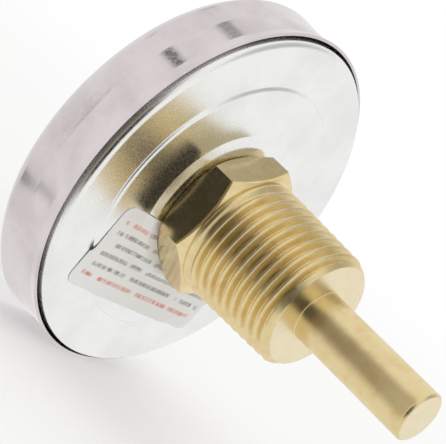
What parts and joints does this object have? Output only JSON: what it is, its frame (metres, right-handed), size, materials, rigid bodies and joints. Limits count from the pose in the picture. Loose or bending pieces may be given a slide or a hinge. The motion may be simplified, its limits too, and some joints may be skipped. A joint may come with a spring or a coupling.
{
  "type": "dial thermometer",
  "caption": "Round dial thermometer with a steel case, a brass wrench hex, a tapered pipe thread and a short rigid stem on the back; a pointer turned by a bimetal coil sweeps the dial.",
  "frame": {"origin": "on the axis, at the thread side of the wrench hex", "axes": "+Y along the axis toward the tip of the stem, the dial faces -Y; +Z is twelve o'clock on the dial; +X is three o'clock seen from the front"},
  "size_m": [0.065, 0.0625, 0.065],
  "materials": {
    "bezel_steel": "polished steel",
    "pan_steel": "bright tinned sheet",
    "window": "clear flat glass",
    "gasket_rubber": "matt black",
    "dial_paint": "matt white with printed scale",
    "pointer_paint": "matt black",
    "bright_steel": "bright turned steel",
    "brass_small": "turned brass",
    "nut_brass": "turned brass",
    "bearing_plastic": "natural acetal",
    "bimetal_strip": "rolled bimetal strip",
    "stem_brass": "drawn brass, bright",
    "fitting_brass": "machined brass, bright",
    "seal_fibre": "light grey fibre",
    "label_paper": null
  },
  "bodies": {
    "case": {"bezel_ring": "bezel_steel", "window_glass": "window", "window_gasket": "gasket_rubber", "case_pan": "pan_steel", "dial_plate": "dial_paint", "dial_posts": "bright_steel", "dial_screws": "bright_steel", "upper_bearing": "bearing_plastic", "lower_bearing": "bearing_plastic", "bimetal_coil": "bimetal_strip", "coil_anchor": "brass_small", "stem_tube": "stem_brass", "threaded_fitting": "fitting_brass", "seal_washer": "seal_fibre", "lock_washer": "bright_steel", "lock_nut": "nut_brass", "back_label": "label_paper"},
    "pointer_assembly": {"pointer": "pointer_paint", "pointer_hub": "brass_small", "spindle": "bright_steel", "coil_collar": "brass_small"}
  },
  "joints": [
    {"name": "pointer_turn", "type": "hinge", "parent": "case", "child": "pointer_assembly", "pos_m": [0, 0, 0], "axis": [0, 1, 0], "range_deg": [-45, 225], "deforming": ["bimetal_coil"]}
  ]
}
